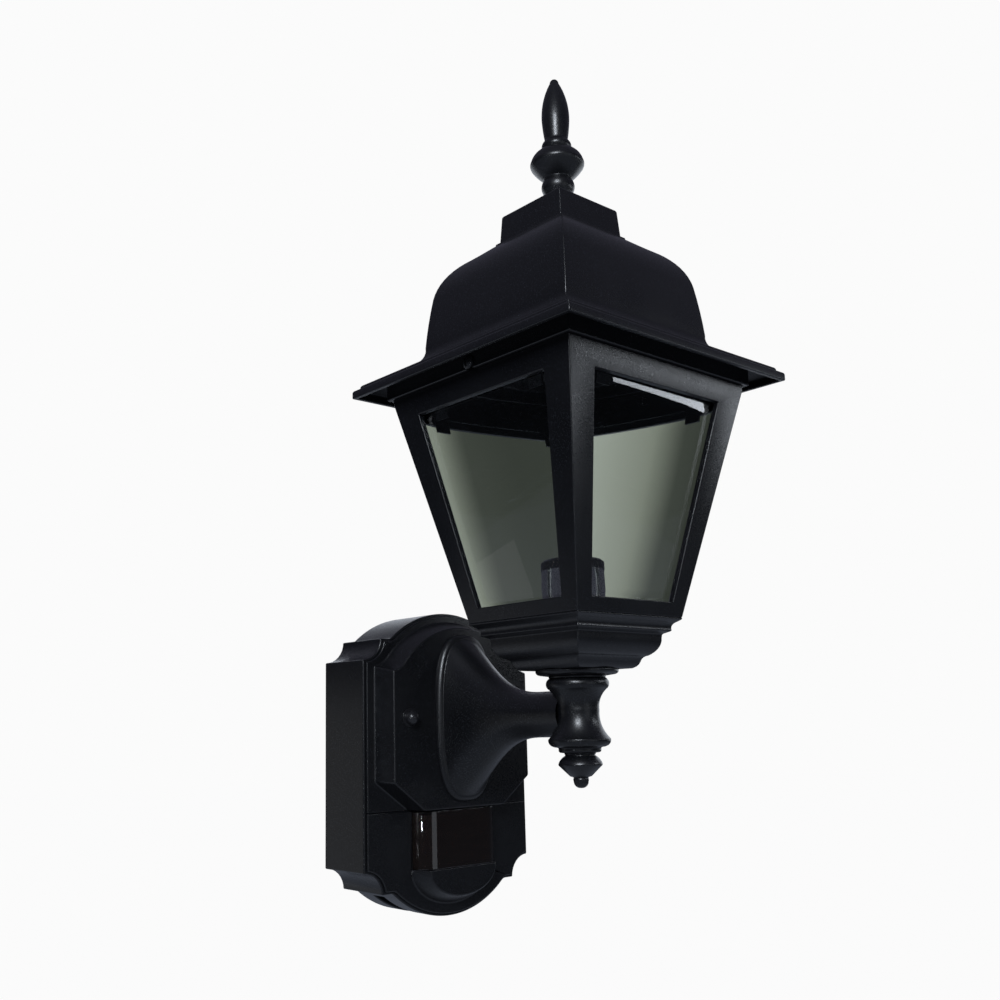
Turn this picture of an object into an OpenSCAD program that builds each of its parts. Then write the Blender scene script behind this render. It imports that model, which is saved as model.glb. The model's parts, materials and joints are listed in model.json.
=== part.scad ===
// Outdoor wall lantern with a motion sensor in its wall box, cast and turned metal, four glass panes.
// Frame: wall plane y = 0, the lantern stands out to -Y, +X right for someone facing the wall, +Z up.
// Origin: on the wall, at the middle of the wall box's straight sides.
// Helpers first place 2D outlines in the XZ plane; "depth" always means distance out from the wall.

/* [Wall box] */
// Half of the wall box's width
box_half_w = 62; // [56:1:70]
// Depth of the wall box, wall to front edge
box_depth = 38.8; // [36:0.1:44]
// Wall thickness of the cast box
box_wall = 3; // [2.4:0.1:3.4]
// Height of the arched top above the middle
arch_top = 88; // [86:1:92]
// Radius of the arched top and bottom
arch_r = 62; // [60:1:66]
// Height of the small shoulder beside the arch
shoulder_z = 71.5; // [70:0.5:73]
// Radius of the scalloped corners
scallop_r = 12.5; // [11:0.5:13]

/* [Arm panel] */
// Half of the raised panel's width where it meets the front plate
panel_half_w = 55.5; // [53:0.5:56]
// How far the raised panel stands proud of the front plate
panel_proud = 13.2; // [11:0.1:14]
// Spread of the two mounting studs from the middle
stud_x = 40.3; // [38:0.1:42]
// Height of the arm's axis and of the studs
arm_z = 25.7; // [24:0.1:27]

/* [Lantern] */
// Distance of the lantern's axis from the wall
lantern_out = 147; // [140:1:160]
// Half of the cage's width at its foot
cage_foot_w = 40.3; // [38:0.1:42]
// Height of the cage's foot
cage_foot_z = 74.6; // [74:0.1:76]
// How much wider each side gets per mm of height
cage_slope = 0.2266; // [0.2:0.01:0.25]
// Half of the roof's width at the eave
eave_half_w = 85; // [84:1:88]
// Thickness of the glass panes
glass_t = 3.2; // [2.8:0.1:3.2]
// Inner radius of the lamp holder's threaded shell
lamp_thread_r = 13.2; // [13:0.1:13.4]

/* [Sensor] */
// Half of the flat front of the sensor window
window_flat = 18; // [16:0.5:19]
// How far the sensor window bows out of the plate
window_bow = 11; // [9:0.5:12]

/* [Smoothness] */
// Fragments in a full circle
$fn = 64; // [32:8:96]

/* [Hidden] */
plate_depth = box_depth + 1.6;
panel_depth = plate_depth + panel_proud;
seam_z = -26.5;
seam_gap = 0.15;
arch_centre = arch_top - arch_r;
cage_wall = 3.4;
rail_z = 198;
cage_top_z = 209;
rail_w = cage_foot_w + cage_slope * (rail_z - cage_foot_z);
lean = atan(cage_slope);
skirt_in = rail_w + 0.4;
skirt_out = skirt_in + 2.4;
roof_screw_z = 204.6;
roof_top_z = 291.2;
cap_top_z = 309.6;
hub_top_z = 45.2;
hub_foot_z = 4.5;
drop_tip_z = -12.6;
collar_top_z = 48.6;
floor_z = 53;
corner_screw = 32.6;
socket_z = 64.5;
socket_top_z = 108.4;
tube_r = 12.3;
arm_screw_rise = 33;
hub_socket_r = 7.5;
wire_r = 1.15;
stud_r = 2.5;
ground_x = 13;
ground_z = arm_z + 9;
board_depth = 30.2;
board_t = 1.6;
tray_top_z = -64.5;
tray_under_z = -68;
recess_from = 14.5;
recess_to = 24.5;
recess_mid = (recess_from + recess_to) / 2;
board_screw_x = 18;
board_screw_z = [-71, -65];
dial_x = -16;
switch_x = 13;
switch_travel = 6;

// ---------- helpers ----------

// Points along an arc from p towards q, which bulges to the left by b; q itself is left out.
function bend(p, q, b, n = 6) =
    let (chord = q - p, half = 2 * atan(2 * b / norm(chord)), along = chord / norm(chord),
         left = [-along[1], along[0]], r = norm(chord) / (2 * sin(half)),
         centre = (p + q) / 2 - left * r * cos(half))
    [for (i = [0 : n - 1]) let (a = -half + 2 * half * i / n)
        centre + r * (sin(a) * along + cos(a) * left)];

// The other half of a half outline, so that a list of (w, z) becomes a closed symmetric one.
function mirrored(line) = concat(line, [for (i = [len(line) - 1 : -1 : 0]) [-line[i][0], line[i][1]]]);

// A 2D outline in (x, z) made solid between two depths from the wall.
module slab(from, to) {
    translate([0, -from, 0]) rotate([90, 0, 0]) linear_extrude(height = to - from) children();
}

// A round bar along Y between two depths, at a place given as (x, z).
module bar(r, from, to, x, z) {
    translate([x, -from, z]) rotate([90, 0, 0]) cylinder(r = r, h = to - from);
}

module at_lantern() {
    translate([0, -lantern_out, 0]) children();
}

// A square moulding: the half outline's width w(z) is kept on all four mitred sides.
module square_turned(line) {
    reach = 200;
    intersection() {
        rotate([90, 0, 0]) linear_extrude(height = reach, center = true) polygon(mirrored(line));
        rotate([90, 0, 90]) linear_extrude(height = reach, center = true) polygon(mirrored(line));
    }
}

// A round turning from its half outline (r, z).
module turned(line) {
    rotate_extrude() polygon(line);
}

// A tube swept along points, with an outline of eight sides.
module swept(path, r) {
    sides = 8;
    rings = len(path);
    function heading(i) = let (a = path[max(i - 1, 0)], b = path[min(i + 1, rings - 1)])
        (b - a) / norm(b - a);
    across = [1, 0, 0];
    points = [for (i = [0 : rings - 1], k = [0 : sides - 1])
        let (t = heading(i), u = cross(t, across) / norm(cross(t, across)), v = cross(u, t),
             a = 360 * k / sides)
        path[i] + r * (cos(a) * u + sin(a) * v)];
    sides_faces = [for (i = [0 : rings - 2], k = [0 : sides - 1])
        let (n = (k + 1) % sides)
        [i * sides + k, i * sides + n, (i + 1) * sides + n, (i + 1) * sides + k]];
    start_face = [[for (k = [sides - 1 : -1 : 0]) k]];
    end_face = [[for (k = [0 : sides - 1]) (rings - 1) * sides + k]];
    polyhedron(points = points, faces = concat(sides_faces, start_face, end_face));
}

// A smooth curve through points, with a few steps between each two.
function smooth(p, steps = 5) = concat([for (i = [0 : len(p) - 2], s = [0 : steps - 1])
    let (t = s / steps, a = p[max(i - 1, 0)], b = p[i], c = p[i + 1],
         d = p[min(i + 2, len(p) - 1)])
    (2 * b + (c - a) * t + (2 * a - 5 * b + 4 * c - d) * t * t
        + (3 * b - a - 3 * c + d) * t * t * t) / 2], [p[len(p) - 1]]);

// ---------- wall box outlines ----------

// Points around a centre, from one angle to another.
function around(centre, r, from, to, n) =
    [for (i = [0 : n]) let (a = from + (to - from) * i / n) centre + r * [cos(a), sin(a)]];

// Upper right quarter of the wall box's outline: scalloped corner, small shoulder, arched top.
blend_r = 4;
shoulder_rise = shoulder_z - arch_centre;
blend_x = sqrt(pow(arch_r + blend_r, 2) - pow(shoulder_rise + blend_r, 2));
arch_start = atan2(shoulder_rise + blend_r, blend_x);
function box_quarter(inset) = let (r = scallop_r + inset)
    concat(around([box_half_w, shoulder_z], r, 360 - acos(-inset / r), 180 + asin(inset / r), 8),
        around([blend_x, shoulder_z + blend_r], blend_r + inset, 270, 181 + arch_start, 4),
        around([0, arch_centre], arch_r - inset, arch_start, 88, 16));
function upside_down(line) = [for (i = [len(line) - 1 : -1 : 0]) [line[i][0], -line[i][1]]];

module box_outline(inset = 0) {
    polygon(mirrored(concat(upside_down(box_quarter(inset)), box_quarter(inset))));
}

// Half outline of the raised panel's foot, from its lower edge round to the top: straight lower
// edge, cut lower corner, upright side, scalloped shoulder and arched top.
ogee_r = 60;
ogee_z = 22.5;
shoulder_hub = [58, 70];
function panel_half(inset) = let (
        reach = shoulder_hub - [0, ogee_z],
        hub_r = norm(reach) - ogee_r + inset,
        tilt = atan2(reach[1], reach[0]),
        side = panel_half_w - inset,
        start = acos((side - shoulder_hub[0]) / hub_r))
    concat([[32.5 - 0.33 * inset, seam_z + seam_gap + inset], [side, -9.6 + 0.51 * inset]],
        around(shoulder_hub, hub_r, 360 - start, 180 + tilt, 6),
        around([0, ogee_z], ogee_r - inset, tilt + 2, 88, 14));

// The panel drafted: it narrows from its foot to its front face, about its lower edge.
module drafted_panel(inset, from, to) {
    draft = [0.928, 0.963];
    shrink = [1, 1] + (draft - [1, 1]) * (to - from) / panel_proud;
    outline = mirrored(panel_half(inset));
    n = len(outline);
    foot = [for (p = outline) [p[0], -from, p[1]]];
    face = [for (p = outline)
        [p[0] * shrink[0], -to, seam_z + (p[1] - seam_z) * shrink[1]]];
    walls = [for (k = [0 : n - 1]) [n + k, n + (k + 1) % n, (k + 1) % n, k]];
    foot_strips = [for (k = [0 : n / 2 - 2]) [k, k + 1, n - 2 - k, n - 1 - k]];
    face_strips = [for (k = [0 : n / 2 - 2]) [2 * n - 1 - k, 2 * n - 2 - k, n + k + 1, n + k]];
    polyhedron(points = concat(foot, face), faces = concat(walls, foot_strips, face_strips));
}

module above_seam(gap) {
    translate([-100, seam_z + gap]) square([200, 200]);
}

module below_seam(gap) {
    translate([-100, seam_z - gap - 200]) square([200, 200]);
}

// ---------- wall fixing ----------

module wall_bracket() {
    bar_w = 19;
    slot_r = 2.3;
    slot_spacing = 79.4;
    slot_l = 14;
    bracket_t = 2;
    color("silver") difference() {
        slab(0, bracket_t) translate([0, arm_z]) {
            square([98, bar_w], center = true);
            square([bar_w, 104], center = true);
            circle(r = 21);
        }
        for (s = [1, -1]) translate([0, 0, s * slot_spacing / 2]) bracket_slot(slot_r, slot_l);
        for (m = [1, -1]) bar(stud_r, -1, 3, m * stud_x, arm_z);
        bar(1.75, -1, 3, ground_x, ground_z);
        bar(7, -1, 3, 0, arm_z);
    }
}

// An upright round-ended slot through the bracket, centred at the arm's height.
module bracket_slot(r, l) {
    for (e = [1, -1]) bar(r, -1, 4, 0, arm_z + e * (l / 2 - r));
    translate([-r, -4, arm_z - l / 2 + r]) cube([2 * r, 5, l - 2 * r]);
}

module ground_screw() {
    color("green") {
        bar(1.7, 0.2, 3, ground_x, ground_z);
        difference() {
            bar(3.6, 2, 4.6, ground_x, ground_z);
            translate([ground_x - 4, -5, ground_z - 0.5]) cube([8, 1.4, 1]);
        }
    }
}

module mounting_studs() {
    color("silver") for (m = [1, -1]) bar(stud_r - 0.02, 0.2, panel_depth + 3, m * stud_x, arm_z);
}

module cap_nuts() {
    nut_r = 4;
    color([0.07, 0.07, 0.08]) for (m = [1, -1]) difference() {
        union() {
            bar(nut_r, panel_depth, panel_depth + 2.4, m * stud_x, arm_z);
            translate([m * stud_x, -panel_depth - 2.4, arm_z]) sphere(r = nut_r);
            bar(nut_r + 1.2, panel_depth, panel_depth + 0.8, m * stud_x, arm_z);
        }
        bar(stud_r, panel_depth - 5, panel_depth + 3.2, m * stud_x, arm_z);
        bar(nut_r + 1, panel_depth - nut_r, panel_depth, m * stud_x, arm_z);
    }
}

module back_gasket() {
    color("dimgray") slab(0, 3) difference() {
        box_outline(box_wall + 0.05);
        box_outline(box_wall + 3.4);
    }
}

// Bosses behind the two front plates, at the box's side walls.
boss_x = 55;
boss_z = 48;
boss_spots = [for (m = [1, -1], s = [1, -1]) [m * boss_x, s * boss_z]];
plate_back = box_depth - 2;

module back_box() {
    color([0.08, 0.08, 0.09]) difference() {
        union() {
            slab(0, box_depth) difference() {
                box_outline();
                box_outline(box_wall);
            }
            slab(3, 5) difference() {
                box_outline(box_wall - 0.5);
                box_outline(box_wall + 3.8);
            }
            for (b = boss_spots) bar(4.6, 5, plate_back, b[0], b[1]);
        }
        for (b = boss_spots) {
            bar(1.9, 4, plate_back + 1, b[0], b[1]);
            bar(3.7, 2, 8, b[0], b[1]);
        }
        translate([-38, -recess_to, -95]) cube([76, recess_to - recess_from, 35]);
    }
}

module cover_screws() {
    color("silver") for (b = boss_spots) {
        bar(3.4, 5.5, 8, b[0], b[1]);
        bar(1.55, 7.5, plate_depth - 0.6, b[0], b[1]);
    }
}

// ---------- front plates ----------

// A front plate: a thin face, one step in from the box, with a lip that drops inside the box.
module front_plate() {
    slab(box_depth, plate_depth) intersection() {
        box_outline(1.6);
        children();
    }
    slab(plate_back, box_depth) intersection() {
        box_outline(box_wall + 0.15);
        children();
    }
}

module arm_plate() {
    skin = 3;
    color([0.08, 0.08, 0.09]) difference() {
        union() {
            front_plate() above_seam(seam_gap);
            drafted_panel(0, plate_depth - 1, panel_depth);
        }
        drafted_panel(skin + 1, plate_back - 1, panel_depth - skin);
        for (m = [1, -1]) bar(stud_r + 0.2, 30, panel_depth + 1, m * stud_x, arm_z);
        for (s = [1, -1]) bar(2.2, 45, panel_depth + 1, 0, arm_z + s * arm_screw_rise);
        bar(6, 45, panel_depth + 1, 0, arm_z);
        for (m = [1, -1]) bar(1.6, 30, plate_depth - 0.5, m * boss_x, boss_z);
    }
}

// Half-round lower edge of the sensor housing, as points from its right side to its left side.
function drop_line(half_w, top, mid, drop) = concat(
    [[half_w, top], [half_w, mid]],
    [for (a = [6 : 6 : 174]) [half_w * cos(a), mid - drop * sin(a)]],
    [[-half_w, mid], [-half_w, top]]);

sill_z = -59.6;

module sensor_cover() {
    lip_top = seam_z - 0.5;
    color([0.08, 0.08, 0.09]) difference() {
        union() {
            front_plate() below_seam(seam_gap);
            hull() {
                slab(plate_depth - 1, plate_depth) polygon(drop_line(30, sill_z, -60, 20.5));
                slab(plate_depth + window_bow - 0.2, plate_depth + window_bow)
                    polygon(drop_line(24.5, sill_z, -61, 14.5));
            }
            for (m = [1, -1], z = board_screw_z)
                bar(2.6, board_depth + board_t, plate_back + 1, m * board_screw_x, z);
        }
        translate([-window_flat - window_bow - 0.1, -plate_depth - 1, sill_z])
            cube([2 * (window_flat + window_bow) + 0.2, 6, lip_top - sill_z]);
        for (m = [1, -1], z = board_screw_z) bar(1.2, 28, plate_depth - 1, m * board_screw_x, z);
        for (m = [1, -1]) bar(1.6, 30, plate_depth - 0.5, m * boss_x, -boss_z);
    }
}

// ---------- sensor ----------

// Plan outline of the bowed window: a flat front with a quarter round at each end.
module window_plan(inset, back) {
    r = window_bow - inset;
    for (m = [1, -1]) translate([m * window_flat, -plate_depth]) circle(r = r);
    translate([-window_flat, -plate_depth - r]) square([2 * window_flat, 2 * r]);
    translate([-window_flat - r, -plate_depth]) square([2 * (window_flat + r), plate_depth - back]);
}

module window_solid(inset, low, high, back) {
    translate([0, 0, low]) linear_extrude(height = high - low) intersection() {
        window_plan(inset, back);
        translate([-100, -100]) square([200, 100 - back]);
    }
}

module sensor_window() {
    skin = 1.6;
    high = seam_z - 0.6;
    low = sill_z + 0.1;
    flange = 2.2;
    color([0.12, 0.09, 0.08, 0.6]) difference() {
        union() {
            window_solid(0, low, high, plate_back);
            translate([-window_flat - window_bow - flange, -plate_back, low - flange])
                cube([2 * (window_flat + window_bow + flange), 1.2, high - low + 2 * flange - 1.6]);
        }
        window_solid(skin, low + skin, high - skin, plate_back - 3);
    }
}

module fresnel_lens() {
    skin = 0.8;
    color([0.85, 0.85, 0.82, 0.8]) difference() {
        window_solid(2.4, -57.4, -29.2, board_depth + board_t + 0.6);
        window_solid(2.4 + skin, -58, -28, board_depth - 1);
    }
}

module sensor_board() {
    color("darkgreen") difference() {
        slab(board_depth, board_depth + board_t) translate([-23, -74]) square([46, 41]);
        for (m = [1, -1], z = board_screw_z) bar(1.3, 25, 40, m * board_screw_x, z);
    }
}

module board_screws() {
    color("silver") for (m = [1, -1], z = board_screw_z) {
        bar(2.3, board_depth - 1.6, board_depth, m * board_screw_x, z);
        bar(1.15, board_depth - 0.4, plate_back, m * board_screw_x, z);
    }
}

module heat_sensor() {
    front = board_depth + board_t;
    color("silver") {
        bar(4.6, front, front + 3.9, 0, -44);
        bar(5.1, front, front + 0.6, 0, -44);
    }
}

module light_sensor() {
    color("tan") bar(2.6, board_depth + board_t, board_depth + board_t + 2.4, 13, -44);
}

module lamp_relay() {
    color([0.1, 0.25, 0.6]) translate([-20, -board_depth, -57.5]) cube([19, 15.5, 14.5]);
}

module smoothing_capacitor() {
    color([0.15, 0.2, 0.45]) translate([11, -board_depth + 6.3, -57.5]) cylinder(r = 6.3, h = 14.5);
}

module terminal_block() {
    color("darkgreen") translate([-9, -board_depth, -41]) cube([18, 8, 7]);
}

// ---------- controls under the box ----------

module control_tray() {
    skin = 1.4;
    color([0.1, 0.1, 0.1]) difference() {
        slab(recess_from - skin, recess_to + skin) intersection() {
            box_outline(box_wall + 0.1);
            translate([-42, -100]) square([84, 100 + tray_top_z]);
        }
        translate([-37.9, -recess_to, -95])
            cube([75.8, recess_to - recess_from, 95 + tray_under_z]);
        translate([dial_x, -recess_mid, -70]) cylinder(r = 1.55, h = 8);
        translate([switch_x - 1.2, -recess_mid - 1.1, -70]) cube([switch_travel + 2.4, 2.2, 8]);
    }
}

module range_pot() {
    color("royalblue") difference() {
        translate([dial_x - 6, -recess_mid - 5, tray_top_z]) cube([12, 10, 6.4]);
        translate([dial_x, -recess_mid, -70]) cylinder(r = 1.55, h = 9);
    }
}

module switch_body() {
    color("dimgray") difference() {
        translate([switch_x - 3, -recess_mid - 4, tray_top_z]) cube([switch_travel + 6, 8, 6.4]);
        translate([switch_x - 1.2, -recess_mid - 1.1, -70]) cube([switch_travel + 2.4, 2.2, 9]);
    }
}

module range_dial() {
    knob_r = 4.2;
    knob_z = -79;
    flutes = 12;
    color([0.16, 0.16, 0.17]) translate([dial_x, -recess_mid, 0]) difference() {
        union() {
            translate([0, 0, knob_z]) cylinder(r = knob_r, h = tray_under_z - 0.4 - knob_z);
            translate([0, 0, -70]) cylinder(r = 1.5, h = 8);
        }
        translate([-5, -0.6, knob_z - 1]) cube([10, 1.2, 2.2]);
        for (i = [0 : flutes - 1]) rotate([0, 0, 15 + 360 * i / flutes])
            translate([knob_r + 0.25, 0, knob_z - 1]) cylinder(r = 0.6, h = 8, $fn = 16);
    }
}

module time_switch() {
    color([0.16, 0.16, 0.17]) translate([switch_x, -recess_mid, 0]) {
        difference() {
            translate([-2.5, -3, -79]) cube([5, 6, 79 + tray_under_z - 0.4]);
            for (i = [-1 : 1]) translate([i * 1.5 - 0.3, -4, -80]) cube([0.6, 8, 1.8]);
        }
        translate([-0.9, -0.9, -70]) cube([1.8, 1.8, 8]);
    }
}

// ---------- arm and hub ----------

// The arm's trumpet: half height and half width of its section at a depth from the wall.
// Its foot ends in a rounded lip, and the flare starts a little inside that.
arm_foot = panel_depth;
arm_lip = 2;
arm_crease = panel_depth + 3.4;
arm_neck = 122;
arm_sides = 40;
function flare(d) = let (u = min(max((d - arm_crease) / (arm_neck - arm_crease), 0), 1))
    pow(1 - u, 2.9) * (1 + 1.2 * u);
function half_high(d) = tube_r + 35.9 * flare(d);
function half_wide(d) = tube_r + 9.1 * pow(flare(d), 1.25);
function arm_ring(d, inset = 1) = let (power = 2 / (2 + 0.8 * flare(d)),
    grow = -inset * arm_lip * flare(d))
    [for (k = [0 : arm_sides - 1]) let (a = 360 * k / arm_sides)
        [(half_wide(d) + grow) * sign(cos(a)) * pow(abs(cos(a)), power), -d,
         arm_z + (half_high(d) + grow) * sign(sin(a)) * pow(abs(sin(a)), power)]];
arm_depths = concat([arm_crease], [for (i = [1 : 17]) arm_crease + (arm_neck - arm_crease)
    * pow(i / 17, 1.15)], [142]);

module arm_flare() {
    lip = [for (a = [0 : 22.5 : 90])
        arm_ring(arm_crease - arm_lip * (1 - sin(a)), 1 - cos(a))];
    rings = concat([arm_ring(arm_foot, 0)], lip,
        [for (i = [1 : len(arm_depths) - 1]) arm_ring(arm_depths[i])]);
    count = len(rings);
    walls = [for (i = [0 : count - 2], k = [0 : arm_sides - 1]) let (n = (k + 1) % arm_sides)
        [i * arm_sides + k, (i + 1) * arm_sides + k, (i + 1) * arm_sides + n, i * arm_sides + n]];
    foot = [[for (k = [0 : arm_sides - 1]) k]];
    neck = [[for (k = [arm_sides - 1 : -1 : 0]) (count - 1) * arm_sides + k]];
    polyhedron(points = [for (r = rings) each r], faces = concat(walls, foot, neck));
}

// Outer half outline of the hub: top bead, waist, sharp lower bead and stepped foot.
hub_line = concat(
    [[0, hub_foot_z], [8.2, hub_foot_z], [8.2, 5.3], [10.6, 5.6], [11.2, 6.3], [11.2, 8.1], [13.4, 8.4]],
    bend([14.4, 8.8], [16.5, 12], -0.6, 5),
    bend([16.5, 12.4], [11.1, 27.5], 1.9, 8),
    bend([11.1, 27.5], [15.9, 38.8], 1.6, 7),
    bend([15.9, 38.8], [14.9, 44.2], -1.3, 6),
    [[14.9, 44.2], [15.3, hub_top_z], [0, hub_top_z]]);

module arm() {
    color([0.08, 0.08, 0.09]) difference() {
        union() {
            difference() {
                arm_flare();
                at_lantern() turned(hub_line);
            }
            bar(hub_socket_r, 125, lantern_out - 7.6, 0, arm_z);
        }
        bar(5, 40, 150, 0, arm_z);
        translate([0, -panel_depth + 1, arm_z]) rotate([90, 0, 0]) cylinder(r1 = 15, r2 = 5, h = 26);
        for (s = [1, -1]) bar(2, 50, panel_depth + 11, 0, arm_z + s * arm_screw_rise);
    }
}

module arm_screws() {
    color("silver") for (s = [1, -1]) {
        bar(3.9, panel_depth - 5.6, panel_depth - 3, 0, arm_z + s * arm_screw_rise);
        bar(1.97, panel_depth - 3.2, panel_depth + 10, 0, arm_z + s * arm_screw_rise);
    }
}

module hub() {
    color([0.08, 0.08, 0.09]) difference() {
        at_lantern() turned(hub_line);
        at_lantern() {
            translate([0, 0, 12]) cylinder(r = 7, h = 26);
            translate([0, 0, 3]) cylinder(r = 3, h = 10);
            translate([0, 0, 37]) cylinder(r = 5, h = 10);
        }
        bar(hub_socket_r + 0.02, 120, lantern_out - 5, 0, arm_z);
    }
}

module drop_finial() {
    line = concat([[0, hub_foot_z], [7.9, hub_foot_z]], bend([7.9, 4], [11.6, -0.2], 0.5, 4),
        [[11.7, -0.8], [5.7, -6.6], [4, -7.1]], bend([3.9, -7.5], [3.9, -9.2], 0.2, 3),
        bend([3.9, -9.2], [0, drop_tip_z], 1.2, 7), [[0, drop_tip_z]]);
    color([0.08, 0.08, 0.09]) at_lantern() {
        turned(line);
        translate([0, 0, hub_foot_z - 1]) cylinder(r = 2.98, h = 8);
    }
}

module collar() {
    line = concat([[5.05, hub_top_z], [15.3, hub_top_z], [20.2, 45.9]],
        bend([20.2, 45.9], [22.1, 47.6], -0.4, 4), [[22.1, collar_top_z], [5.05, collar_top_z]]);
    color([0.08, 0.08, 0.09]) at_lantern() turned(line);
}

module nipple() {
    color("goldenrod") at_lantern() translate([0, 0, 39]) difference() {
        cylinder(r = 4.98, h = 23.5);
        translate([0, 0, -1]) cylinder(r = 3.7, h = 26);
    }
}

module lock_washer() {
    color("silver") at_lantern() translate([0, 0, floor_z]) difference() {
        cylinder(r = 9, h = 1.2);
        translate([0, 0, -1]) cylinder(r = 5.1, h = 4);
    }
}

module nipple_nut() {
    color("goldenrod") at_lantern() translate([0, 0, floor_z + 1.2]) difference() {
        cylinder(r = 8.4, h = 3.4, $fn = 6);
        translate([0, 0, -1]) cylinder(r = 5, h = 6);
    }
}

// ---------- lantern body ----------

base_line = concat(
    [[21, collar_top_z]],
    bend([21.4, 48.8], [24.2, 53.2], -0.8, 4),
    bend([24.7, 53.5], [27.2, 55.1], 0.3, 3),
    bend([27.2, 55.1], [32.2, 65.8], -1.9, 8),
    [[32.6, 66.2], [35.9, 67.6]],
    bend([36.2, 68.1], [38, 72.3], 0.8, 5),
    [[38, 72.3], [38.6, 72.6], [cage_foot_w, 73.8], [cage_foot_w, cage_foot_z]]);

module lantern_base() {
    inside = [[17.5, floor_z], [20.5, 55.2], [25, 59], [28.6, 66.5], [29.6, 69], [29.6, 80]];
    color([0.08, 0.08, 0.09]) at_lantern() difference() {
        square_turned(base_line);
        square_turned(inside);
        translate([0, 0, 40]) cylinder(r = 5.1, h = 20);
        for (m = [1, -1], s = [1, -1]) translate([m * corner_screw, s * corner_screw, 68.6]) cylinder(r = 1.5, h = 8);
    }
}

module base_screws() {
    color("silver") at_lantern() for (m = [1, -1], s = [1, -1]) translate([m * corner_screw, s * corner_screw, 0]) {
        translate([0, 0, 68.8]) cylinder(r = 1.47, h = 9);
        translate([0, 0, cage_foot_z + 3]) cylinder(r = 2.6, h = 1.6);
    }
}

function cage_w(z) = cage_foot_w + cage_slope * (z - cage_foot_z);

// The four window openings, as one outline on the flat of a side.
opening_low = 82.2;
opening_high = 189;
opening_foot = 31.2;
opening_head = 48.7;

module cage() {
    outside = [[cage_foot_w, cage_foot_z], [rail_w, rail_z], [rail_w, cage_top_z]];
    thin = cage_wall;
    inside = [[cage_w(77.6) - thin, 77.6], [rail_w - thin, rail_z], [rail_w - thin, 220]];
    opening = [[opening_foot, opening_low], [opening_head, opening_high]];
    color([0.08, 0.08, 0.09]) at_lantern() difference() {
        square_turned(outside);
        square_turned(inside);
        square_turned([[29.6, 70], [29.6, 80]]);
        for (turn = [0, 90]) rotate([90, 0, turn])
            linear_extrude(height = 160, center = true) polygon(mirrored(opening));
        for (m = [1, -1], s = [1, -1]) translate([m * corner_screw, s * corner_screw, 70]) cylinder(r = 1.6, h = 10);
        for (m = [1, -1]) translate([m * 60, 0, roof_screw_z]) rotate([0, m * 90, 0])
            cylinder(r = 2, h = 12);
    }
}

// One pane in its own flat frame: x across, z up the slope, outer face at y = 0, bevelled rim.
pane_low = 4.6;
pane_high = 121;
function pane_half(v) = opening_foot + 3 + (opening_head - opening_foot)
    * (v * cos(lean) - opening_low + cage_foot_z) / (opening_high - opening_low);

module pane() {
    bevel = 8.5;
    rim_t = 1.5;
    low = [pane_half(pane_low), pane_low];
    high = [pane_half(pane_high), pane_high];
    hull() {
        translate([0, glass_t, 0]) rotate([90, 0, 0]) linear_extrude(height = rim_t)
            polygon(mirrored([low, high]));
        translate([0, glass_t, 0]) rotate([90, 0, 0]) linear_extrude(height = glass_t)
            polygon(mirrored([low + [-bevel, bevel], high - [bevel, bevel]]));
    }
}

// Puts a piece drawn in a pane's flat frame on the side of the cage that faces a given turn.
module on_side(turn) {
    at_lantern() rotate([0, 0, turn]) translate([0, -cage_foot_w + cage_wall + 0.15,
        cage_foot_z]) rotate([lean, 0, 0]) children();
}

module glass_front() {
    color([0.75, 0.8, 0.78, 0.35]) on_side(0) pane();
}

module glass_back() {
    color([0.75, 0.8, 0.78, 0.35]) on_side(180) pane();
}

module glass_left() {
    color([0.75, 0.8, 0.78, 0.35]) on_side(270) pane();
}

module glass_right() {
    color([0.75, 0.8, 0.78, 0.35]) on_side(90) pane();
}

module glass_clips() {
    color("silver") for (turn = [0 : 90 : 270]) on_side(turn) for (m = [1, -1]) {
        translate([m * 36 - 5, glass_t + 0.1, 112]) cube([10, 1, 13]);
        translate([m * 36 - 5, 0, 121.3]) cube([10, glass_t + 1, 3.7]);
    }
}

// ---------- lamp holder ----------

module socket_bracket() {
    color("silver") at_lantern() difference() {
        union() {
            translate([0, 0, 58.6]) cylinder(r = 7.5, h = 4);
            translate([0, 0, 62.5]) cylinder(r = 15, h = socket_z - 62.5);
        }
        translate([0, 0, 50]) cylinder(r = 5, h = 12.5);
        translate([0, 0, 60]) cylinder(r = 3.7, h = 10);
        for (m = [1, -1]) translate([0, m * 11, 60]) cylinder(r = 1.7, h = 10);
    }
}

module socket_body() {
    color([0.06, 0.05, 0.05]) at_lantern() difference() {
        union() {
            translate([0, 0, socket_z]) cylinder(r = 16.6, h = 40);
            translate([0, 0, 103]) cylinder(r = 18, h = socket_top_z - 104.2);
            translate([0, 0, 107.2]) cylinder(r1 = 18, r2 = 16.8, h = socket_top_z - 107.2);
        }
        translate([0, 0, 74]) cylinder(r = 13.9, h = 40);
        translate([0, 0, 60]) cylinder(r = 13, h = 10.5);
        for (m = [1, -1]) translate([m * 9, 0, 70]) cylinder(r = 1.7, h = 5);
    }
}

module socket_sleeve() {
    color("silver") at_lantern() translate([0, 0, socket_z]) difference() {
        cylinder(r = 17.7, h = 103 - socket_z);
        translate([0, 0, -1]) cylinder(r = 16.62, h = 50);
    }
}

module socket_shell() {
    color("silver") at_lantern() difference() {
        translate([0, 0, 76]) cylinder(r = 13.88, h = 30);
        translate([0, 0, 70]) cylinder(r = lamp_thread_r, h = 40);
    }
}

module socket_contact() {
    color("goldenrod") at_lantern() {
        translate([0, 0, 74]) cylinder(r = 4, h = 1.2);
        translate([0, 0, 75.2]) cylinder(r1 = 3, r2 = 1.6, h = 0.7);
    }
}

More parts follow.
